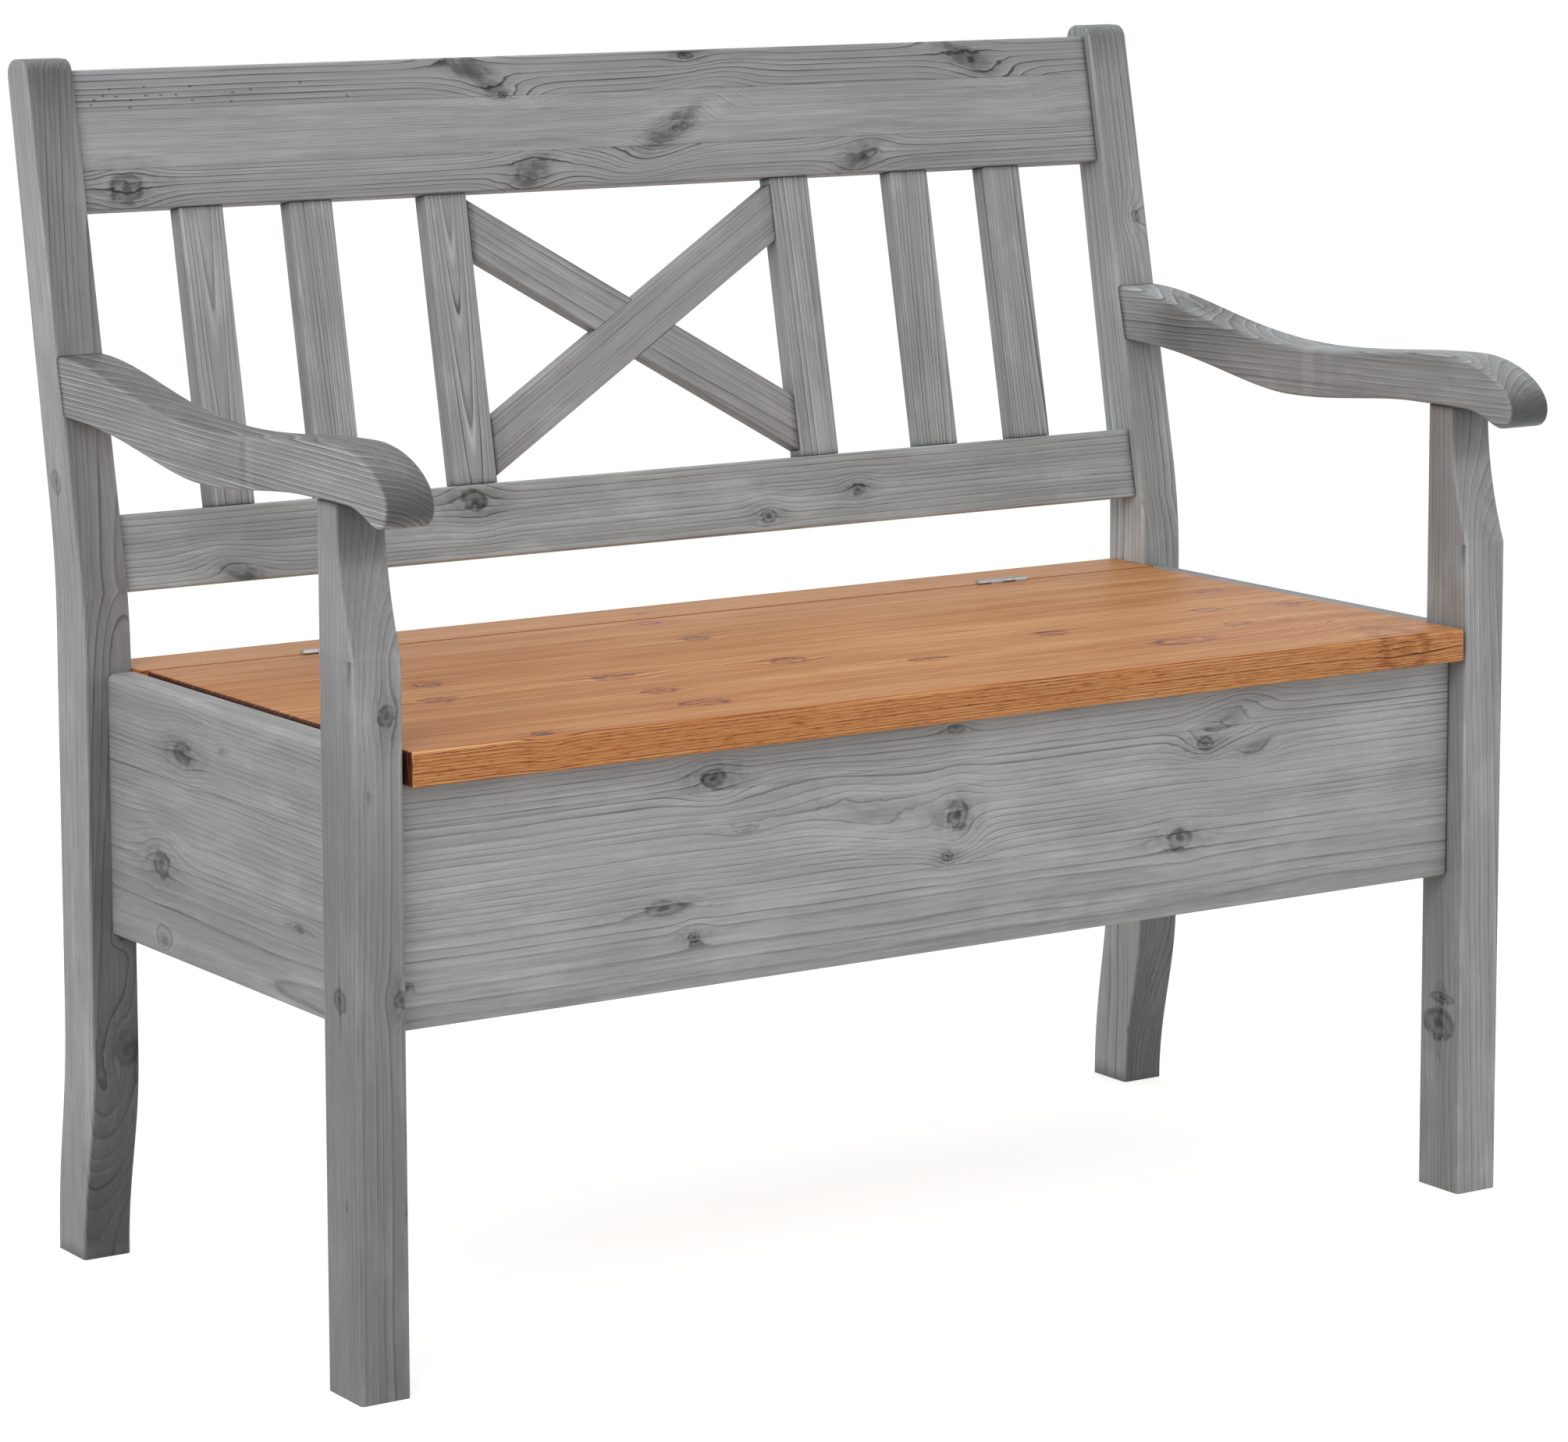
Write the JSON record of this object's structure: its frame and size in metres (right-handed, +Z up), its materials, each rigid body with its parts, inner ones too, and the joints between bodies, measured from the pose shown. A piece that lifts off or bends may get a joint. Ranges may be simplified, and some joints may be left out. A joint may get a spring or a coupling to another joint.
{
  "type": "storage bench",
  "caption": "Wooden storage bench with a hinged seat lid over a chest, a raked slatted back with a diagonal cross, curved armrests and square legs.",
  "frame": {"origin": "centre of the floor rectangle under the whole bench, on the floor", "axes": "+Z up, +X to the right seen from the front, -Y towards the front edge of the seat"},
  "size_m": [1.06, 0.597, 0.9365],
  "materials": {
    "grey_pine": "pine under a thin grey glaze that leaves the grain and knots showing, satin",
    "honey_pine": "pine stained honey brown, oiled, satin",
    "raw_pine": "planed pine, unfinished",
    "plywood": "thin plywood, unfinished",
    "beech_dowel": "turned beech, unfinished",
    "zinc_steel": "bright zinc-plated steel"
  },
  "bodies": {
    "frame": {"arm_dowels": "beech_dowel", "armrest_left": "grey_pine", "armrest_right": "grey_pine", "back_panel": "grey_pine", "back_panel_dowels": "beech_dowel", "back_slat_1": "grey_pine", "back_slat_2": "grey_pine", "back_slat_3": "grey_pine", "back_slat_4": "grey_pine", "back_slat_5": "grey_pine", "back_slat_6": "grey_pine", "bottom_board": "plywood", "brace_dowels": "beech_dowel", "cleat_screws": "zinc_steel", "cross_brace_falling": "grey_pine", "cross_brace_rising": "grey_pine", "fixed_leaf_screws": "zinc_steel", "front_cleat": "raw_pine", "front_leg_left": "grey_pine", "front_leg_right": "grey_pine", "front_panel": "grey_pine", "front_panel_dowels": "beech_dowel", "hinge_fixed_leaf_left": "zinc_steel", "hinge_fixed_leaf_right": "zinc_steel", "hinge_pin_left": "zinc_steel", "hinge_pin_right": "zinc_steel", "hinge_rail": "raw_pine", "lower_rail": "grey_pine", "rail_dowels": "beech_dowel", "rear_cleat": "raw_pine", "rear_post_left": "grey_pine", "rear_post_right": "grey_pine", "seat_strip": "honey_pine", "seat_strip_screws": "zinc_steel", "side_cleat_left": "raw_pine", "side_cleat_right": "raw_pine", "side_panel_dowels": "beech_dowel", "side_panel_left": "grey_pine", "side_panel_right": "grey_pine", "slat_dowels": "beech_dowel", "top_rail": "grey_pine"},
    "lid": {"seat_lid": "honey_pine", "lid_batten_left": "raw_pine", "lid_batten_right": "raw_pine", "batten_screws": "zinc_steel", "hinge_lid_leaf_left": "zinc_steel", "hinge_lid_leaf_right": "zinc_steel", "lid_leaf_screws": "zinc_steel"}
  },
  "joints": [
    {"name": "lid_hinge", "type": "hinge", "parent": "frame", "child": "lid", "pos_m": [0, 0.16415, 0.4712], "axis": [-1, 0, 0], "range_deg": [0, 103.5]}
  ]
}
